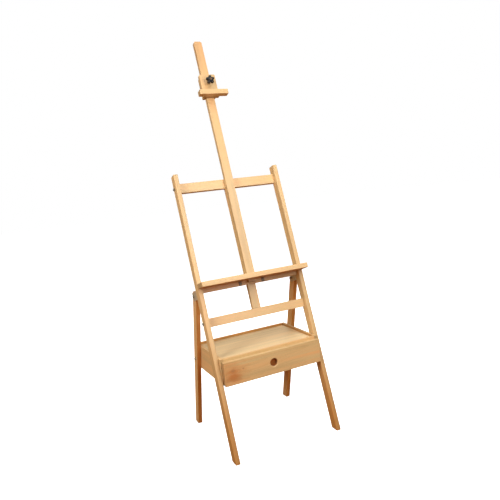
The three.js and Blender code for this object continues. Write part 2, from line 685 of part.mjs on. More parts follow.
function addDrawer(group) {
  const { width, thickness, bottom, top } = DRAWER_FRONT;
  const frontFace = CASE.front - GAP - thickness;
  const { radius, rimRadius, rimDepth, depth, z } = FINGER_HOLE;
  const hole = turned([
    [0, -1], [rimRadius + 1, -1], [radius, rimDepth], [radius, depth], [0, depth],
  ], 'y', [0, frontFace, z]);
  addPiece(group, 'drawer_front', cut(
    box([-width / 2, width / 2], [frontFace, frontFace + thickness], [bottom, top]), hole,
  ), wood());

  const half = DRAWER_BOX.width / 2;
  const { wall, back } = DRAWER_BOX;
  const start = CASE.front;
  const wallHeights = [DRAWER_BOX.bottom + DRAWER_BOX.floor + GAP, DRAWER_BOX.top];
  for (const [label, side] of SIDE_NAMES) {
    const limits = sorted(side * (half - wall), side * half);
    addPiece(group, `drawer_side_${label}`, box(limits, [start, back], wallHeights), panelWood());
  }
  const inside = [-half + wall + GAP, half - wall - GAP];
  addPiece(group, 'drawer_back', box(inside, [back - wall, back], wallHeights), panelWood());
  addPiece(group, 'drawer_floor', box(
    [-half, half], [start, back], [DRAWER_BOX.bottom, DRAWER_BOX.bottom + DRAWER_BOX.floor],
  ), panelWood());
}

// ---------------------------------------------------------------- assembly

function buildEasel() {
  const easel = new THREE.Group();
  easel.name = 'artist_easel';

  const frame = new THREE.Group();
  frame.rotation.x = -LEAN;
  addFrontFrame(frame);
  addConnectors(frame);
  addLedge(frame);
  addMast(frame);
  addMastLocks(frame);
  addClamp(frame);
  for (const [label, side] of SIDE_NAMES) addHinge(frame, label, side);

  const rear = new THREE.Group();
  rear.position.y = REAR_FOOT_Y;
  rear.rotation.x = REAR_LEAN;
  for (const [label, side] of SIDE_NAMES) addRearLeg(rear, label, side);

  const storage = new THREE.Group();
  addCase(storage);
  addDrawer(storage);

  easel.add(frame, rear, storage);
  return easel;
}

// Stands the easel on the floor with its origin below the middle of its bounding box.
function centred(group) {
  group.updateMatrixWorld(true);
  const bounds = new THREE.Box3().setFromObject(group, true);
  const middle = bounds.getCenter(new THREE.Vector3());
  group.position.set(-middle.x, -middle.y, -bounds.min.z);
  group.updateMatrixWorld(true);
  return group;
}

export default centred(buildEasel());
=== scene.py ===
import json
import math
import random

import bmesh
import bpy
from mathutils import Matrix, Vector


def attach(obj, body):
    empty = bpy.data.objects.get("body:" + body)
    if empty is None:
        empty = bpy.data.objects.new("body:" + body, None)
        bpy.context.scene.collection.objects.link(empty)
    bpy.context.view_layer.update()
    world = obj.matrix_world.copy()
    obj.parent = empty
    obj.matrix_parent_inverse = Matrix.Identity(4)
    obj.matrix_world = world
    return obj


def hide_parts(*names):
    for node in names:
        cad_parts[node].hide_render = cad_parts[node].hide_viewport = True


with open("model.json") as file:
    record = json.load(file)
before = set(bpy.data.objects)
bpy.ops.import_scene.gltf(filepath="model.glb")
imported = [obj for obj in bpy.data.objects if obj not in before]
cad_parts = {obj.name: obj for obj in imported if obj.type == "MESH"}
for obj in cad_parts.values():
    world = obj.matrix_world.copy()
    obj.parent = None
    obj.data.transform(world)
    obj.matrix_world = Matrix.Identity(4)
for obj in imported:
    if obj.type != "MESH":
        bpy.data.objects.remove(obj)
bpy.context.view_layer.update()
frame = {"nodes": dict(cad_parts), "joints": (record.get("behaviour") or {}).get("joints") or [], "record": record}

MM = 0.001
SIDES = ("left", "right")
NODES = frame["nodes"]
JOINTS = {joint["name"]: joint for joint in frame["joints"]}
BODIES = frame["record"]["behaviour"]["bodies"]
SLOTS = {part["node"]: part["material_slot"] for part in frame["record"]["subparts"]}

# Up along the leaning frame.
FRAME_UP = Vector(JOINTS["mast_slide"]["axis"]).normalized()
# The way the front faces of the rear legs point when the easel stands open.
REAR_SPLAY = math.radians(18)
REAR_LEG_FRONT = Vector((0, -math.cos(REAR_SPLAY), -math.sin(REAR_SPLAY)))
FORWARD = Vector((0, -1, 0))


# ---------------------------------------------------------------- shader nodes

# The mix node's sockets when it mixes colours.
MIX_FACTOR, MIX_A, MIX_B, MIX_RESULT = 0, 6, 7, 2


class Graph:
    """A material's node tree, with one short call for each kind of node."""

    def __init__(self, name):
        self.material = bpy.data.materials.new(name)
        self.material.use_nodes = True
        self.tree = self.material.node_tree
        self.tree.nodes.clear()

    def add(self, kind, inputs=None, **settings):
        node = self.tree.nodes.new(kind)
        for key, value in settings.items():
            setattr(node, key, value)
        for key, value in (inputs or {}).items():
            self.feed(node.inputs[key], value)
        return node

    def feed(self, socket, value):
        if isinstance(value, bpy.types.NodeSocket):
            self.tree.links.new(value, socket)
        else:
            socket.default_value = value

    def math(self, operation, a, b=0.0, clamp=False):
        node = self.add("ShaderNodeMath", {0: a, 1: b}, operation=operation, use_clamp=clamp)
        return node.outputs[0]

    def vector(self, operation, a, b=(0, 0, 0)):
        node = self.add("ShaderNodeVectorMath", {0: a, 1: b}, operation=operation)
        return node.outputs["Value" if operation in ("LENGTH", "DOT_PRODUCT") else "Vector"]

    def noise(self, vector, scale, detail=2.0, roughness=0.5, output="Fac"):
        node = self.add("ShaderNodeTexNoise", {
            "Vector": vector, "Scale": scale, "Detail": detail, "Roughness": roughness,
        })
        return node.outputs[output]

    def ramp(self, value, low, high, to_low, to_high, **settings):
        return self.add("ShaderNodeMapRange", {
            "Value": value, "From Min": low, "From Max": high, "To Min": to_low, "To Max": to_high,
        }, **settings).outputs["Result"]

    def step(self, value, low, high, to_low=0.0, to_high=1.0):
        """A smooth step of value from low to high."""
        return self.ramp(value, low, high, to_low, to_high, interpolation_type="SMOOTHSTEP")

    def linear(self, value, low, high, to_low=0.0, to_high=1.0):
        """A straight slope of value from low to high."""
        return self.ramp(value, low, high, to_low, to_high)

    def mix(self, factor, a, b, blend="MIX"):
        node = self.add("ShaderNodeMix", data_type="RGBA", blend_type=blend)
        self.feed(node.inputs[MIX_FACTOR], factor)
        self.feed(node.inputs[MIX_A], a)
        self.feed(node.inputs[MIX_B], b)
        return node.outputs[MIX_RESULT]

    def object_place(self):
        return self.add("ShaderNodeTexCoord").outputs["Object"]

    def finish(self, color, roughness, relief=None, relief_depth=0.0, **constants):
        """The surface itself, with its relief depth in metres. Returns the material."""
        shader = self.add("ShaderNodeBsdfPrincipled", {"Base Color": color, "Roughness": roughness})
        for key, value in constants.items():
            shader.inputs[key.replace("_", " ")].default_value = value
        if relief is not None:
            bump = self.add("ShaderNodeBump", {"Height": relief, "Distance": relief_depth})
            self.tree.links.new(bump.outputs[0], shader.inputs["Normal"])
        output = self.add("ShaderNodeOutputMaterial")
        self.tree.links.new(shader.outputs[0], output.inputs[0])
        return self.material


def rgb(red, green, blue):
    return (red, green, blue, 1.0)


def grey(level):
    return rgb(level, level, level)


# ---------------------------------------------------------------- boards

# How near two unit directions' dot product is to 1 when they agree, and to 0 when they are square.
SAME_WAY = 0.999
SQUARE = 0.01


def face_directions(data):
    """The directions that a mesh's faces point along, the one with the most area first."""
    areas = []
    for face in data.polygons:
        for entry in areas:
            if abs(entry[1].dot(face.normal)) > SAME_WAY:
                entry[0] += face.area
                break
        else:
            areas.append([face.area, face.normal.copy()])
    areas.sort(key=lambda entry: -entry[0])
    return [normal for _, normal in areas]


def board_axes(node):
    """A board's three right-handed directions, longest first, with its middle and half sizes."""
    directions = face_directions(node.data)
    first = directions[0]
    second = next(normal for normal in directions if abs(normal.dot(first)) < SQUARE)
    found = []
    for axis in (first, second, first.cross(second)):
        along = [axis.dot(vertex.co) for vertex in node.data.vertices]
        found.append(((max(along) - min(along)) / 2, axis, (max(along) + min(along)) / 2))
    found.sort(key=lambda entry: -entry[0])
    half, axes, middle = (list(column) for column in zip(*found))
    if Matrix(axes).determinant() < 0:
        axes[2] = -axes[2]
        middle[2] = -middle[2]
    return {"axes": axes, "half": half, "middle": middle}


def on_board(board, place):
    """Where a point lies along a board's length and width, from its middle."""
    pairs = zip(board["axes"][:2], board["middle"])
    return [axis.dot(Vector(place)) - middle for axis, middle in pairs]


# ---------------------------------------------------------------- wood

# A growth ring's two woods.
PALE = {"light": rgb(0.640, 0.422, 0.190), "dark": rgb(0.475, 0.255, 0.085)}
PANEL_WOOD = {"light": rgb(0.755, 0.555, 0.300), "dark": rgb(0.665, 0.470, 0.230)}
REAR_WOOD = {"light": rgb(0.720, 0.430, 0.185), "dark": rgb(0.540, 0.270, 0.085)}
# The broad streaks between which the wood drifts.
PINK = rgb(0.640, 0.345, 0.140)
YELLOW = rgb(0.635, 0.455, 0.215)
# Laid over the wood: scuffs, knots, and worn edges lighter as bare wood and partly as a painted highlight.
BARE_AND_HIGHLIT_EDGE = rgb(0.74, 0.52, 0.29)
SCUFFED = rgb(0.30, 0.20, 0.12)
KNOT = rgb(0.40, 0.19, 0.08)
# Multiplied into the wood: painted shade along a board and on faces turned one way, a reddish blush, and painted
# shade with darker cut grain in a hole.
PAINTED_SHADE = rgb(0.75, 0.54, 0.33)
PAINTED_SIDE_SHADE = rgb(0.78, 0.52, 0.26)
BLUSH = rgb(0.86, 0.58, 0.42)
HOLE_SHADE = rgb(0.55, 0.27, 0.12)

# Noises: how fine along the board, how fine across it, and their detail and roughness.
WANDER = {"along": 1.6, "across": 9.0, "detail": 1.0}
STREAKS = {"along": 1.1, "across": 42.0, "detail": 3.0, "roughness": 0.6}
BROAD_STREAKS = {"along": 2.2, "across": 13.0}
FIBRES = {"along": 22.0, "across": 1500.0, "roughness": 0.6}
FLECKS = {"along": 230.0, "across": 1300.0, "detail": 0.0}
WEAR = {"along": 14.0, "across": 60.0}
SCUFFS = {"along": 30.0, "across": 90.0, "detail": 4.0}
BLUSH_RIM = {"along": 18.0, "across": 70.0, "detail": 3.0}
KNOT_RIM = {"along": 60.0, "across": 60.0}
# How far the noises are moved, at random, from one board to the next.
NOISE_SHIFT = 9

# The pith of the tree lies outside the board, this far off across and through it, in metres.
PITH_ACROSS = (0.015, 0.05)
PITH_THROUGH = (0.03, 0.09)
WANDER_WIDTH = 0.030
NOISE_MIDDLE = (0.5, 0.5, 0.5)
# Dark wood builds up slowly through a ring and ends sharply at its rim.
LATE_WOOD_POWER = 2.2
RING_RIM = (0.93, 1.0)
FAINTEST_RING = 0.35

# Ranges: from low to high, and the values that the two ends are given.
STREAK_WARMTH = (0.36, 0.64)
BROAD_WARMTH = (0.25, 0.65)
STREAK_VALUE = (0.25, 0.75, 0.87, 1.12)
BROAD_VALUE = (0.20, 0.80, -0.05, 0.06)
FIBRE_VALUE = (0.20, 0.80, 0.95, 1.04)
FLECK_COVER = (0.66, 0.74)
FLECK_DARKENING = 0.90
VALUE_SPREAD = 1.35
END_GRAIN_FACING = (0.80, 0.95)
END_GRAIN_DARKENING = 0.72

# Worn edges, lighter as bare wood and partly as a painted highlight, in metres from the edge.
WORN_WIDTH = (0.0003, 0.0016)
WORN_PATCHES = (0.40, 0.62)
EDGE_WEAR_AND_HIGHLIGHT = 0.22
SCUFF_COVER = (0.3, 0.7, 0.0, 0.4)
# How squarely a face turns the given way for the painted shade on it.
SIDE_FACING = (0.4, 0.9)

# Knots: the rings bend round them, as far off as this many of their sizes.
KNOT_NARROWING = 1.6
KNOT_RAGGEDNESS = (0.2, 0.8, 0.75, 1.25)
KNOT_REACH = 3.2
KNOT_BEND = 3.5
KNOT_COVER = (0.35, 1.25)
KNOT_AMOUNT = 0.75
BLUSH_RAGGEDNESS = (0.25, 0.75, 0.55, 1.45)
BLUSH_COVER = (0.25, 1.15)

# The cut sides of a hole, painted with shade: how wide its rim is, and how far below the face they begin and end.
HOLE_RIM = 0.002
HOLE_FLOOR_DEPTH = 0.006
HOLE_TOP_DEPTH = 0.0005

FIBRE_ROUGHNESS = (0.2, 0.8, 0.40, 0.50)
RING_POLISH = 0.07
WORN_ROUGHNESS = 0.10
FIBRE_RELIEF = 0.35
RING_RELIEF = 0.55
WOOD_RELIEF_DEPTH = 0.16 * MM
VARNISH = {"Coat_Weight": 0.12, "Coat_Roughness": 0.3, "Specular_IOR_Level": 0.42}


class WoodGraph(Graph):
    """A board's material, with places measured along, across and through the board."""

    def __init__(self, name, board, dice):
        super().__init__(name)
        self.half = board["half"]
        self.dice = dice
        coordinates = self.add("ShaderNodeTexCoord")
        self.normal = coordinates.outputs["Normal"]
        self.place = self.add("ShaderNodeMapping", {
            "Vector": coordinates.outputs["Object"],
            "Rotation": Matrix(board["axes"]).to_euler("XYZ"),
            "Location": [-value for value in board["middle"]],
        }, vector_type="POINT").outputs[0]
        self.shift = tuple(dice.uniform(-NOISE_SHIFT, NOISE_SHIFT) for _ in range(3))
        self.along, self.across, self.through = self.add("ShaderNodeSeparateXYZ", {0: self.place}).outputs

    def grain(self, along, across, **settings):
        """A noise stretched along the board."""
        scaled = self.vector("MULTIPLY", self.place, (along, across, across))
        return self.noise(self.vector("ADD", scaled, self.shift), 1.0, **settings)

    def facing(self, direction):
        return self.vector("DOT_PRODUCT", self.normal, tuple(direction))

    def distance(self, along, across, length, height):
        """How far off a mark on the board's face is, as shares of its length and height."""
        offset = self.vector("SUBTRACT", self.place, (along, across, 0.0))
        offset = self.vector("MULTIPLY", offset, (1.0 / length, 1.0 / height, 0.0))
        return self.vector("LENGTH", offset)


def ring_radius(graph, ring):
    """How many growth rings off the pith is, wandering slowly along the board."""
    wander = graph.vector("SUBTRACT", graph.grain(**WANDER, output="Color"), NOISE_MIDDLE)
    wander = graph.vector("MULTIPLY", wander, (0.0, WANDER_WIDTH, WANDER_WIDTH))
    dice = graph.dice
    pith = [0.0] + [dice.choice((-1, 1)) * dice.uniform(*reach) for reach in (PITH_ACROSS, PITH_THROUGH)]
    around = graph.vector("ADD", graph.vector("ADD", graph.place, wander), pith)
    around = graph.vector("MULTIPLY", around, (0.0, 1.0, 1.0))
    return graph.math("DIVIDE", graph.vector("LENGTH", around), ring * MM)


def knot_distance(graph, along, across, size):
    ragged = graph.linear(graph.grain(**KNOT_RIM), *KNOT_RAGGEDNESS)
    return graph.math("MULTIPLY", graph.distance(along, across, size, size / KNOT_NARROWING), ragged)


def growth_rings(graph, ring, knots):
    """How dark the ring is at each place, and how far the knots cover it."""
    radius = ring_radius(graph, ring)
    cover = None
    for knot in knots:
        distance = knot_distance(graph, *knot)
        bend = graph.math("MULTIPLY", graph.step(distance, 0.0, KNOT_REACH, 1.0, 0.0), KNOT_BEND)
        radius = graph.math("ADD", radius, bend)
        mask = graph.step(distance, *KNOT_COVER, 1.0, 0.0)
        cover = mask if cover is None else graph.math("MAXIMUM", cover, mask)
    phase = graph.math("FRACT", radius)
    late = graph.math("POWER", phase, LATE_WOOD_POWER)
    dark = graph.math("MULTIPLY", late, graph.step(phase, *RING_RIM, 1.0, 0.0))
    whole = graph.math("FLOOR", radius)
    each = graph.add("ShaderNodeTexWhiteNoise", {"W": whole}, noise_dimensions="1D").outputs["Value"]
    dark = graph.math("MULTIPLY", dark, graph.linear(each, 0.0, 1.0, FAINTEST_RING, 1.0))
    return dark, cover


def wood_value(graph, streaks, broad, fibres, end_direction):
    """How light the wood is from its streaks, fibres, flecks and end grain."""
    value = graph.math("ADD", graph.linear(streaks, *STREAK_VALUE), graph.linear(broad, *BROAD_VALUE))
    value = graph.math("MULTIPLY", value, graph.linear(fibres, *FIBRE_VALUE))
    flecks = graph.step(graph.grain(**FLECKS), *FLECK_COVER)
    value = graph.math("MULTIPLY", value, graph.linear(flecks, 0.0, 1.0, 1.0, FLECK_DARKENING))
    value = graph.math("MULTIPLY", graph.math("SUBTRACT", value, 1.0), VALUE_SPREAD)
    value = graph.math("ADD", value, 1.0)
    end = graph.step(graph.math("ABSOLUTE", graph.facing(end_direction)), *END_GRAIN_FACING)
    return graph.math("MULTIPLY", value, graph.linear(end, 0.0, 1.0, 1.0, END_GRAIN_DARKENING))


def worn_and_highlit_edges(graph):
    """Where the finish is rubbed off the long edges and the ends, which are painted lighter partly as a highlight.
    """
    places = (graph.along, graph.across, graph.through)
    end_gap, side_gap, face_gap = (
        graph.math("SUBTRACT", half, graph.math("ABSOLUTE", place))
        for half, place in zip(graph.half, places)
    )
    long_edge = graph.math("MAXIMUM", side_gap, face_gap)
    end_edge = graph.math("MAXIMUM", end_gap, graph.math("MINIMUM", side_gap, face_gap))
    gap = graph.math("MINIMUM", long_edge, end_edge)
    patches = graph.step(graph.grain(**WEAR), *WORN_PATCHES)
    return graph.math("MULTIPLY", graph.step(gap, *WORN_WIDTH, 1.0, 0.0), patches)


def scuffed_foot(graph, color, height):
    low = graph.step(graph.math("ADD", graph.along, graph.half[0]), 0.0, height, 1.0, 0.0)
    scuffs = graph.math("MULTIPLY", low, graph.linear(graph.grain(**SCUFFS), *SCUFF_COVER))
    return graph.mix(scuffs, color, SCUFFED)


def deepened_along(graph, color, start, stop, amount):
    """Painted shade darkens the board along its length, from start to stop."""
    depth = graph.step(graph.along, min(start, stop), max(start, stop))
    if stop < start:
        depth = graph.math("SUBTRACT", 1.0, depth)
    return graph.mix(graph.math("MULTIPLY", depth, amount), color, PAINTED_SHADE, "MULTIPLY")


def deepened_side(graph, color, direction, amount):
    """Painted shade on faces turned one way."""
    cover = graph.step(graph.facing(direction), *SIDE_FACING, 0.0, amount)
    return graph.mix(cover, color, PAINTED_SIDE_SHADE, "MULTIPLY")


def blushed(graph, color, along, across, length, height, amount):
    """A reddish patch with a ragged rim."""
    ragged = graph.linear(graph.grain(**BLUSH_RIM), *BLUSH_RAGGEDNESS)
    near = graph.math("MULTIPLY", graph.distance(along, across, length, height), ragged)
    return graph.mix(graph.step(near, *BLUSH_COVER, amount, 0.0), color, BLUSH, "MULTIPLY")


def shade_hole(graph, color, along, across, radius, face):
    """Wood cut away behind a face is painted dark, as shade in the recess over its darker cut end grain."""
    gap = graph.distance(along, across, 1.0, 1.0)
    inside = graph.step(gap, radius, radius + HOLE_RIM, 1.0, 0.0)
    surface = graph.half[2]
    depth = (surface - HOLE_FLOOR_DEPTH, surface - HOLE_TOP_DEPTH)
    below = graph.step(graph.math("MULTIPLY", graph.through, face), *depth, 1.0, 0.0)
    return graph.mix(graph.math("MULTIPLY", inside, below), color, HOLE_SHADE, "MULTIPLY")


def wood(name, board, seed, tone=1.0, pinkness=0.5, contrast=0.55, ring=2.6, palette=PALE,
         knots=(), foot=0.0, deep=None, deep_side=None, blushes=(), hole=None):
    """Clear-coated softwood whose growth rings, streaks and fibres run along the board.

    ring is the width of a growth ring in millimetres; the places and sizes below are in metres.
    knots are (along, across, size); foot is how high the scuffs at the lower end reach.
    The painted shade along the board is (start, stop, amount), and on faces turned one way (direction, amount).
    blushes are (along, across, length, height, amount); hole is (along, across, radius, face), the painted shade
    in a hole.
    """
    graph = WoodGraph(name, board, random.Random(seed))
    rings, knot_cover = growth_rings(graph, ring, knots)
    streaks = graph.grain(**STREAKS)
    broad = graph.grain(**BROAD_STREAKS)
    fibres = graph.grain(**FIBRES)
    wear_and_highlight = worn_and_highlit_edges(graph)

    color = graph.mix(graph.math("MULTIPLY", rings, contrast, True), palette["light"], palette["dark"])
    warm = graph.mix(graph.step(streaks, *STREAK_WARMTH), YELLOW, PINK)
    drift = graph.math("MULTIPLY", graph.step(broad, *BROAD_WARMTH), pinkness, True)
    color = graph.mix(drift, color, warm)
    # Worn edges lighter, partly as a painted highlight.
    color = graph.mix(graph.math("MULTIPLY", wear_and_highlight, EDGE_WEAR_AND_HIGHLIGHT), color, BARE_AND_HIGHLIT_EDGE)
    if foot:
        color = scuffed_foot(graph, color, foot)
    # Painted shade along the board and on faces turned one way.
    if deep:
        color = deepened_along(graph, color, *deep)
    if deep_side:
        color = deepened_side(graph, color, *deep_side)
    for blush in blushes:
        color = blushed(graph, color, *blush)
    # Painted shade in the hole.
    if hole:
        color = shade_hole(graph, color, *hole)
    if knots:
        color = graph.mix(graph.math("MULTIPLY", knot_cover, KNOT_AMOUNT), color, KNOT)
    value = wood_value(graph, streaks, broad, fibres, board["axes"][0])
    value = graph.math("MULTIPLY", value, tone)
    shade = graph.add("ShaderNodeCombineColor", {0: value, 1: value, 2: value}).outputs[0]
    color = graph.mix(1.0, color, shade, "MULTIPLY")

    rough = graph.linear(fibres, *FIBRE_ROUGHNESS)
    rough = graph.math("ADD", rough, graph.linear(rings, 0.0, 1.0, 0.0, -RING_POLISH))
    rough = graph.math("ADD", rough, graph.math("MULTIPLY", wear_and_highlight, WORN_ROUGHNESS))
    relief = graph.math(
        "ADD", graph.math("MULTIPLY", fibres, FIBRE_RELIEF), graph.math("MULTIPLY", rings, RING_RELIEF),
    )
    return graph.finish(color, rough, relief, WOOD_RELIEF_DEPTH, **VARNISH)


# ---------------------------------------------------------------- other materials

# The scales of the plastic's mottling and of its grain, and how finely its scratches run each way.
PLASTIC_CLOUD = {"scale": 90.0, "detail": 3.0}
PLASTIC_GRAIN = {"scale": 2600.0}
SCRATCH_SCALES = (500.0, 90.0, 3000.0)
PLASTIC_BLACKS = (grey(0.004), rgb(0.008, 0.008, 0.009))
PLASTIC_CLOUD_COVER = (0.35, 0.65)
PLASTIC_CLOUD_ROUGHNESS = (0.3, 0.7, 0.22, 0.34)
SCRATCH = rgb(0.030, 0.030, 0.032)
SCRATCH_COVER = (0.68, 0.80, 0.0, 0.35)
SCRATCH_ROUGHNESS = (0.66, 0.80, 0.0, 0.2)
PLASTIC_RELIEF_DEPTH = 0.06 * MM
PLASTIC_SPECULAR = 0.38

METAL_CLOUD = {"scale": 120.0, "detail": 4.0, "roughness": 0.6}
METAL_GRAIN = {"scale": 1800.0}
METAL_SPOTS = {"scale": 420.0, "detail": 3.0, "roughness": 0.65}
METAL_CLOUD_COVER = (0.3, 0.7)
SPOT_COVER = (0.56, 0.70)
SPOT_AMOUNT = 0.6
SPOT_ROUGHNESS = 0.18
METAL_RELIEF_DEPTH = 0.04 * MM

# Each metal's two shades, the roughness of each, its spots' colour and how metallic it is.
METALS = {
    "dark_plating": {
        "shades": (rgb(0.30, 0.185, 0.105), rgb(0.17, 0.100, 0.055)), "rough": (0.32, 0.48),
        "spot": rgb(0.36, 0.24, 0.14), "metallic": 0.5,
    },
    "zinc_plating": {
        "shades": (rgb(0.66, 0.59, 0.42), rgb(0.50, 0.44, 0.30)), "rough": (0.30, 0.44),
        "spot": rgb(0.74, 0.70, 0.58), "metallic": 0.5,
    },
    "turned_brass": {
        "shades": (rgb(0.62, 0.42, 0.16), rgb(0.50, 0.33, 0.12)), "rough": (0.25, 0.40),
        "spot": rgb(0.66, 0.50, 0.26), "metallic": 0.9,
    },
    "bolt_plating": {
        "shades": (rgb(0.26, 0.23, 0.16), rgb(0.15, 0.13, 0.09)), "rough": (0.32, 0.46),
        "spot": rgb(0.42, 0.38, 0.28), "metallic": 0.6,
    },
}
# The metal in each material slot, and how the names of the bolts, which are plated darker, end.
SLOT_METALS = {"dark_steel": "dark_plating", "plated_steel": "zinc_plating", "brass": "turned_brass"}
BOLT_ENDINGS = ("bolt_left", "bolt_right")


def moulded_plastic():
    graph = Graph("moulded_plastic")
    place = graph.object_place()
    cloud = graph.noise(place, **PLASTIC_CLOUD)
    grain = graph.noise(place, **PLASTIC_GRAIN)
    scratches = graph.noise(graph.vector("MULTIPLY", place, SCRATCH_SCALES), 1.0)
    color = graph.mix(graph.step(cloud, *PLASTIC_CLOUD_COVER), *PLASTIC_BLACKS)
    color = graph.mix(graph.step(scratches, *SCRATCH_COVER), color, SCRATCH)
    rough = graph.math(
        "ADD", graph.linear(cloud, *PLASTIC_CLOUD_ROUGHNESS), graph.step(scratches, *SCRATCH_ROUGHNESS),
    )
    return graph.finish(color, rough, grain, PLASTIC_RELIEF_DEPTH, Specular_IOR_Level=PLASTIC_SPECULAR)


def metal(name):
    graph = Graph(name)
    looks = METALS[name]
    place = graph.object_place()
    cloud = graph.noise(place, **METAL_CLOUD)
    grain = graph.noise(place, **METAL_GRAIN)
    spots = graph.step(graph.noise(place, **METAL_SPOTS), *SPOT_COVER)
    color = graph.mix(graph.step(cloud, *METAL_CLOUD_COVER), *looks["shades"])
    color = graph.mix(graph.math("MULTIPLY", spots, SPOT_AMOUNT), color, looks["spot"])
    rough = graph.linear(cloud, *METAL_CLOUD_COVER, *looks["rough"])
    rough = graph.math("ADD", rough, graph.math("MULTIPLY", spots, SPOT_ROUGHNESS))
    return graph.finish(color, rough, grain, METAL_RELIEF_DEPTH, Metallic=looks["metallic"])


# ---------------------------------------------------------------- meshes

SAME_POINT = 1e-6
FLAT_ENOUGH = math.radians(0.5)
EASED_ANGLE = math.radians(30)
SHADED_SHARP = math.radians(35)
EASE_SEGMENTS = 2
ROUND_PROFILE = 0.5
# Sharp edges joined to none longer than this stay sharp, such as the rims of bolt holes.
BOARD_LONG_EDGE = 8 * MM
METAL_EASE = 0.3 * MM
METAL_LONG_EDGE = 0.0


def body_holding(node_name):
    return next(name for name, members in BODIES.items() if node_name in members)


def new_piece(name, mesh, material, node_name):
    """A visible piece that stands for a node of the frame and moves with its body."""
    piece = bpy.data.objects.new(name, mesh)
    bpy.context.scene.collection.objects.link(piece)
    mesh.materials.clear()
    mesh.materials.append(material)
    modifier = piece.modifiers.new("weighted_normals", "WEIGHTED_NORMAL")
    modifier.keep_sharp = True
    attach(piece, body_holding(node_name))
    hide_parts(node_name)


def is_sharp(edge, angle):
    return len(edge.link_faces) == 2 and edge.calc_face_angle() > angle


def joined_edges(first, waiting):
    """The first edge and all those in waiting that it leads to, which are taken out of waiting."""
    group, stack = [], [first]
    while stack:
        edge = stack.pop()
        group.append(edge)
        for vertex in edge.verts:
            for other in vertex.link_edges:
                if other in waiting:
                    waiting.remove(other)
                    stack.append(other)
    return group


def edges_to_ease(mesh, long_edge):
    """Sharp edges joined to at least one long one."""
    waiting = {edge for edge in mesh.edges if is_sharp(edge, EASED_ANGLE)}
    chosen = []
    while waiting:
        group = joined_edges(waiting.pop(), waiting)
        if max(edge.calc_length() for edge in group) > long_edge:
            chosen.extend(group)
    return chosen


def finish_mesh(mesh, name, sharp_angle=SHADED_SHARP):
    bmesh.ops.recalc_face_normals(mesh, faces=mesh.faces)
    for face in mesh.faces:
        face.smooth = True
    for edge in mesh.edges:
        edge.smooth = not is_sharp(edge, sharp_angle)
    data = bpy.data.meshes.new(name)
    mesh.to_mesh(data)
    mesh.free()
    return data


def eased_copy(node_name, width, long_edge):
    """A copy of a CAD piece whose long edges are rounded."""
    mesh = bmesh.new()
    mesh.from_mesh(NODES[node_name].data)
    bmesh.ops.remove_doubles(mesh, verts=mesh.verts, dist=SAME_POINT)
    bmesh.ops.dissolve_limit(mesh, angle_limit=FLAT_ENOUGH, verts=mesh.verts, edges=mesh.edges)
    bmesh.ops.bevel(
        mesh, geom=edges_to_ease(mesh, long_edge), offset=width, offset_type="OFFSET",
        segments=EASE_SEGMENTS, profile=ROUND_PROFILE, affect="EDGES", clamp_overlap=False,
    )
    return finish_mesh(mesh, node_name)


def board_piece(node_name, ease, **looks):
    """A board with edges eased by so many millimetres, and wood() made to its looks."""
    data = eased_copy(node_name, ease * MM, BOARD_LONG_EDGE)
    seed = sorted(NODES).index(node_name) + 1
    material = wood("wood_" + node_name, board_axes(NODES[node_name]), seed, **looks)
    new_piece(node_name + "_board", data, material, node_name)


def metal_piece(node_name, material):
    data = eased_copy(node_name, METAL_EASE, METAL_LONG_EDGE)
    new_piece(node_name + "_part", data, material, node_name)


# ---------------------------------------------------------------- the star knobs

# Each knob's node, its joint, and whether its stud points along the joint's axis or against it.
KNOBS = (("clamp_knob", "clamp_knob_turn", -1), ("mast_knob", "mast_knob_turn", 1))
# All in millimetres.
STAR_LOBES = 5
STAR_TIP = 20.0
STAR_HOLLOW = 12.9
STAR_LOBE_POWER = 0.72
STAR_STEPS = 120
KNOB_THICKNESS = 13.0
BOSS_HEIGHT = 2.8
# The star's rim: how far past its neck, and how far inside the full outline.
STAR_RIM = (
    (0.0, 2.6), (0.3, 1.2), (1.2, 0.3), (2.6, 0.0), (8.6, 0.0), (10.2, 0.5), (11.4, 1.5), (12.3, 3.0),
    (12.8, 4.8),
)
# Round stretches: each ring's radius, and how far it is past the foot, the neck's end or the top.
NECK_FOOT = ((3.4, 0.0), (7.3, 0.0), (8.0, 0.7))
NECK_FLARE = ((8.0, -2.0), (8.5, -0.7), (9.6, 0.0))
EYE_HOLE_FLOOR = -3.0
BOSS = (
    (8.6, -0.5), (8.0, 0.2), (7.7, 1.9), (7.0, 2.6), (5.9, 2.6), (5.3, 2.0), (5.1, EYE_HOLE_FLOOR),
)
KNOB_SHARP = math.radians(50)
# The steel eye in the boss: its radii, how far past the top it begins and ends, and its eased rim.
EYE_OUTER = 4.9
EYE_INNER = 2.6
EYE_SPAN = (-2.9, 1.0)
EYE_EASE = 0.25
EYE_STEPS = 48


def circle(radius):
    return lambda angle: radius


def star(inside):
    """The star's outline, so many millimetres inside its full size."""
    def radius_at(angle):
        wave = (1 + math.cos(STAR_LOBES * angle)) / 2
        return STAR_HOLLOW + (STAR_TIP - STAR_HOLLOW) * wave ** STAR_LOBE_POWER - inside
    return radius_at


def ring_of(mesh, place, steps, radius_at, along):
    """One ring of vertices round a knob's axis."""
    ring = []
    for i in range(steps):
        angle = 2 * math.pi * i / steps
        radius = radius_at(angle)
        ring.append(mesh.verts.new(place(radius * math.sin(angle), radius * math.cos(angle), along)))
    return ring


def bridge(mesh, first, second):
    count = len(first)
    for i in range(count):
        after = (i + 1) % count
        mesh.faces.new((first[i], first[after], second[after], second[i]))


def close(mesh, ring, place, along):
    middle = mesh.verts.new(place(0.0, 0.0, along))
    for i, vertex in enumerate(ring):
        mesh.faces.new((vertex, ring[(i + 1) % len(ring)], middle))


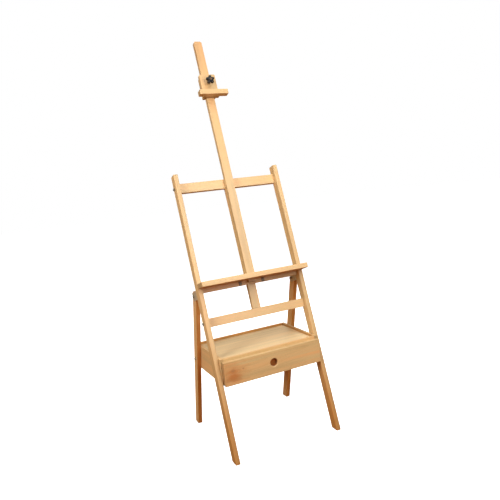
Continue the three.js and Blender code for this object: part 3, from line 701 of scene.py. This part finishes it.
def knob_place(node_name, joint_name, outward):
    """A function from a knob's own axes (across, up, along the stud) to the frame, and its height."""
    out = (outward * Vector(JOINTS[joint_name]["axis"])).normalized()
    up = (FRAME_UP - FRAME_UP.dot(out) * out).normalized()
    side = up.cross(out)
    along_stud = [out.dot(vertex.co) for vertex in NODES[node_name].data.vertices]
    base = min(along_stud)
    anchor = Vector(JOINTS[joint_name]["pos_m"])
    anchor += (base - out.dot(anchor)) * out

    def place(across, upward, along):
        return anchor + (side * across + up * upward + out * along) * MM

    return place, (max(along_stud) - base) / MM


def star_knob_mesh(place, neck):
    mesh = bmesh.new()
    top = neck + KNOB_THICKNESS
    outline = [(circle(radius), along) for radius, along in NECK_FOOT]
    outline += [(circle(radius), neck + along) for radius, along in NECK_FLARE]
    outline += [(star(inside), neck + along) for along, inside in STAR_RIM]
    outline += [(circle(radius), top + along) for radius, along in BOSS]
    rings = [ring_of(mesh, place, STAR_STEPS, radius_at, along) for radius_at, along in outline]
    for first, second in zip(rings, rings[1:]):
        bridge(mesh, first, second)
    close(mesh, rings[-1], place, top + EYE_HOLE_FLOOR)
    close(mesh, rings[0], place, 0.0)
    return mesh


def eye_mesh(place, top):
    """A flat steel ring with eased rims, round the knob's axis."""
    mesh = bmesh.new()
    low, high = (top + along for along in EYE_SPAN)
    outline = (
        (EYE_OUTER, low), (EYE_OUTER, high - EYE_EASE), (EYE_OUTER - EYE_EASE, high),
        (EYE_INNER + EYE_EASE, high), (EYE_INNER, high - EYE_EASE), (EYE_INNER, low),
    )
    rings = [ring_of(mesh, place, EYE_STEPS, circle(radius), along) for radius, along in outline]
    for first, second in zip(rings, rings[1:] + rings[:1]):
        bridge(mesh, first, second)
    return mesh


def build_knobs(black, dark):
    for node_name, joint_name, outward in KNOBS:
        place, height = knob_place(node_name, joint_name, outward)
        neck = height - KNOB_THICKNESS - BOSS_HEIGHT
        body = finish_mesh(star_knob_mesh(place, neck), node_name + "_star", KNOB_SHARP)
        new_piece(node_name + "_star", body, black, node_name)
        eye = finish_mesh(eye_mesh(place, neck + KNOB_THICKNESS), node_name + "_eye")
        new_piece(node_name + "_eye", eye, dark, node_name)


# ---------------------------------------------------------------- the easel

# Marks on the drawer front, as x and z in metres.
DRAWER_KNOT = (-0.188, 0.357)
DRAWER_FAINT_KNOT = (-0.142, 0.358)
DRAWER_BLUSH = (-0.188, 0.330)
DRAWER_END = (-0.215, 0.345)
DRAWER_HOLE = (0.0, 0.348)
HOLE_RADIUS = 17 * MM
# The marks' sizes in metres: a knot's size, and a blush's length, height and strength.
KNOT_SIZE = 0.011
FAINT_KNOT_SIZE = 0.006
LOW_BLUSH = (0.040, 0.026, 0.9)
KNOT_BLUSH = (0.034, 0.012, 0.7)
END_BLUSH = (0.110, 0.075, 0.55)

FOOT_SCUFFS = 0.03
# Painted shade along a front leg from its middle, in metres: where it begins, where it is
# darkest, and how dark it is.
LEG_SHADE = (-0.05, -0.58, 1.0)
# The same painted shade up the mast.
MAST_SHADE = (0.30, 0.55, 0.5)
# How dark the painted shade on faces turned one way is.
FACE_SHADE = 0.9


def mast_deepening():
    """The mast is painted with shade towards its top, whichever way its long axis points."""
    start, stop, amount = MAST_SHADE
    sign = 1 if board_axes(NODES["mast"])["axes"][0].z > 0 else -1
    return sign * start, sign * stop, amount


def build_drawer_front():
    board = board_axes(NODES["drawer_front"])
    depth = board["axes"][2].dot(-FORWARD)
    middle_y = board["middle"][2] / depth

    def mark(place):
        x, z = place
        return on_board(board, (x, middle_y, z))

    board_piece(
        "drawer_front", ease=1.5, tone=1.06, pinkness=0.85, contrast=0.7,
        knots=((*mark(DRAWER_KNOT), KNOT_SIZE), (*mark(DRAWER_FAINT_KNOT), FAINT_KNOT_SIZE)),
        blushes=(
            (*mark(DRAWER_BLUSH), *LOW_BLUSH), (*mark(DRAWER_KNOT), *KNOT_BLUSH),
            (*mark(DRAWER_END), *END_BLUSH),
        ),
        # The finger hole's recess is painted with shade.
        hole=(*mark(DRAWER_HOLE), HOLE_RADIUS, -1 if depth > 0 else 1),
    )


def build_legs():
    for side, tone in (("left", 1.0), ("right", 1.03)):
        # The front legs are painted with shade towards their feet.
        board_piece(
            f"front_leg_{side}", ease=1.6, tone=tone, pinkness=0.45, foot=FOOT_SCUFFS, deep=LEG_SHADE,
        )
        # Their front faces, turned downward, are painted with shade.
        board_piece(
            f"rear_leg_{side}", ease=1.6, pinkness=0.4, palette=REAR_WOOD, foot=FOOT_SCUFFS,
            deep_side=(REAR_LEG_FRONT, FACE_SHADE),
        )


def build_frame_boards():
    for name, tone in (("upper_rail", 1.04), ("middle_rail", 1.0), ("lower_rail", 1.02)):
        board_piece(name, ease=1.3, tone=tone, pinkness=0.7)
    board_piece("centre_post", ease=1.3, tone=0.98, pinkness=1.0, contrast=0.8)
    # The mast is painted with shade towards its top.
    board_piece("mast", ease=1.3, tone=0.97, deep=mast_deepening())
    # The ledge's underside is painted with shade.
    board_piece("canvas_ledge", ease=1.8, ring=3.0, deep_side=(-FRAME_UP, 1.0))
    board_piece("clamp_block", ease=1.2, tone=0.92)
    board_piece("clamp_back_plate", ease=0.9, tone=0.98)
    board_piece("clamp_lip", ease=1.5)


def build_case():
    # The case back's front face is painted with shade.
    board_piece("case_back", ease=1.0, tone=1.08, deep_side=(FORWARD, FACE_SHADE))
    board_piece("case_front_rail", ease=1.2, tone=1.02)
    for side, inward in zip(SIDES, (1, -1)):
        # The case sides' inner faces are painted with shade.
        board_piece(f"case_side_{side}", ease=1.2, deep_side=(Vector((inward, 0, 0)), FACE_SHADE))
        board_piece(f"drawer_side_{side}", ease=0.8, tone=0.98)
    board_piece("drawer_back", ease=0.8, tone=0.98)
    build_drawer_front()
    for name in ("tray_panel", "case_floor", "drawer_floor"):
        board_piece(name, ease=0.4, ring=5.0, contrast=0.3, pinkness=0.15, palette=PANEL_WOOD)


def build_hardware():
    black = moulded_plastic()
    metals = {name: metal(name) for name in METALS}
    for name in sorted(NODES):
        if SLOTS[name] in SLOT_METALS:
            is_bolt = name.endswith(BOLT_ENDINGS)
            metal_piece(name, metals["bolt_plating" if is_bolt else SLOT_METALS[SLOTS[name]]])
    build_knobs(black, metals["dark_plating"])


# ---------------------------------------------------------------- studio

# Places are in metres, the lens and the sensor in millimetres.
CAMERA_PLACE = Vector((-0.8948, -2.09346, 1.0886))
CAMERA_FORWARD = Vector((0.4002, 0.9066, -0.1335))
CAMERA_UP = Vector((0.1563, 0.0760, 0.9848))
CAMERA_SENSOR = 36.0
CAMERA_LENS = 37.26
CAMERA_SHIFT = (0.0006, 0.0132)
CAMERA_REACH = 200.0

FLOOR_RADIUS = 30.0
FLOOR_GLOW = 0.95
FLOOR_WHITES = (grey(0.86), grey(0.885))
FLOOR_CLOUD = {"scale": 1.3, "detail": 3.0}
FLOOR_CLOUD_COVER = (0.3, 0.7)
FLOOR_ROUGHNESS = (0.75, 0.85)
FLOOR_SPECULAR = 0.2
WALL_RADIUS = 29.0
WALL_HEIGHT = 80.0
WALL_BELOW_FLOOR = 1.0
STUDIO_SEGMENTS = 96
FACING_DOWN = -0.9

# The world's light from above and from below, and how far from level it changes over.
ABOVE = grey(0.16)
BELOW = rgb(0.30, 0.095, 0.0)
HORIZON = 0.12

# Soft boxes: where each hangs, what it faces, how wide it is and its power in watts.
SOFT_BOXES = {
    "key": ((0.35, -1.9, 3.3), (0.0, 0.0, 0.9), 1.2, 11.0),
    "left": ((-2.6, -1.0, 1.8), (0.0, 0.0, 0.9), 1.4, 66.0),
    "top": ((0.0, -0.7, 3.9), (0.0, 0.0, 0.5), 2.6, 52.0),
    "front": ((0.4, -1.9, 1.5), (0.0, 0.0, 1.1), 1.4, 19.0),
    "near": ((0.5, -1.35, 1.75), (0.0, 0.05, 1.15), 0.8, 9.0),
    "back": ((1.9, 2.5, 2.0), (0.0, 0.0, 0.8), 1.6, 52.0),
}
# Soft boxes that leave no highlights: the one behind would put one on the tray top.
UNSEEN_IN_GLOSS = ("back",)


def add_object(name, data):
    thing = bpy.data.objects.new(name, data)
    bpy.context.scene.collection.objects.link(thing)
    return thing


def build_camera():
    data = bpy.data.cameras.new("camera")
    data.sensor_width = CAMERA_SENSOR
    data.lens = CAMERA_LENS
    data.shift_x, data.shift_y = CAMERA_SHIFT
    data.clip_end = CAMERA_REACH
    camera = add_object("camera", data)
    forward = CAMERA_FORWARD.normalized()
    right = forward.cross(CAMERA_UP).normalized()
    up = right.cross(forward)
    rotation = Matrix((right, up, -forward)).transposed()
    camera.matrix_world = Matrix.Translation(CAMERA_PLACE) @ rotation.to_4x4()
    bpy.context.scene.camera = camera


def studio_piece(name, mesh, material):
    """A part of the studio that neither lights the easel nor is mirrored in it."""
    data = bpy.data.meshes.new(name)
    mesh.to_mesh(data)
    mesh.free()
    data.materials.append(material)
    piece = add_object(name, data)
    piece.visible_diffuse = False
    piece.visible_glossy = False
    return piece


def build_floor():
    """A pale floor with a glow of its own, so that it stays as white as the backdrop far away."""
    graph = Graph("studio_floor")
    cloud = graph.noise(graph.object_place(), **FLOOR_CLOUD)
    color = graph.mix(graph.step(cloud, *FLOOR_CLOUD_COVER), *FLOOR_WHITES)
    rough = graph.linear(cloud, *FLOOR_CLOUD_COVER, *FLOOR_ROUGHNESS)
    material = graph.finish(
        color, rough, Specular_IOR_Level=FLOOR_SPECULAR, Emission_Color=grey(1.0),
        Emission_Strength=FLOOR_GLOW,
    )
    mesh = bmesh.new()
    bmesh.ops.create_circle(mesh, cap_ends=True, radius=FLOOR_RADIUS, segments=STUDIO_SEGMENTS)
    studio_piece("studio_floor", mesh, material)


def build_backdrop():
    """A white wall all round, far off, that only the camera sees."""
    graph = Graph("studio_backdrop")
    shader = graph.add("ShaderNodeEmission", {"Color": grey(1.0), "Strength": 1.0})
    output = graph.add("ShaderNodeOutputMaterial")
    graph.tree.links.new(shader.outputs[0], output.inputs[0])
    mesh = bmesh.new()
    bmesh.ops.create_cone(
        mesh, cap_ends=True, segments=STUDIO_SEGMENTS, radius1=WALL_RADIUS, radius2=WALL_RADIUS,
        depth=WALL_HEIGHT, matrix=Matrix.Translation((0, 0, WALL_HEIGHT / 2 - WALL_BELOW_FLOOR)),
    )
    for face in [face for face in mesh.faces if face.normal.z < FACING_DOWN]:
        mesh.faces.remove(face)
    wall = studio_piece("studio_backdrop", mesh, graph.material)
    wall.visible_transmission = False
    wall.visible_shadow = False


def build_world():
    """White above and, weaker and warm, below."""
    world = bpy.data.worlds.new("studio")
    world.use_nodes = True
    tree = world.node_tree
    tree.nodes.clear()
    place = tree.nodes.new("ShaderNodeTexCoord")
    parts = tree.nodes.new("ShaderNodeSeparateXYZ")
    tree.links.new(place.outputs["Generated"], parts.inputs[0])
    height = tree.nodes.new("ShaderNodeMapRange")
    height.interpolation_type = "SMOOTHSTEP"
    height.inputs["From Min"].default_value = -HORIZON
    height.inputs["From Max"].default_value = HORIZON
    tree.links.new(parts.outputs["Z"], height.inputs["Value"])
    mix = tree.nodes.new("ShaderNodeMix")
    mix.data_type = "RGBA"
    mix.inputs[MIX_A].default_value = BELOW
    mix.inputs[MIX_B].default_value = ABOVE
    tree.links.new(height.outputs[0], mix.inputs[MIX_FACTOR])
    background = tree.nodes.new("ShaderNodeBackground")
    tree.links.new(mix.outputs[MIX_RESULT], background.inputs["Color"])
    output = tree.nodes.new("ShaderNodeOutputWorld")
    tree.links.new(background.outputs[0], output.inputs[0])
    bpy.context.scene.world = world


def soft_box(name, place, target, size, power):
    data = bpy.data.lights.new(name, "AREA")
    data.shape = "DISK"
    data.size = size
    data.energy = power
    light = add_object(name, data)
    light.location = place
    light.visible_glossy = name not in UNSEEN_IN_GLOSS
    light.rotation_mode = "QUATERNION"
    light.rotation_quaternion = (Vector(target) - Vector(place)).to_track_quat("-Z", "Y")


def build_studio():
    build_camera()
    build_world()
    build_floor()
    build_backdrop()
    for name, settings in SOFT_BOXES.items():
        soft_box(name, *settings)
    bpy.context.scene.view_settings.view_transform = "Standard"


build_studio()
build_legs()
build_frame_boards()
build_case()
build_hardware()
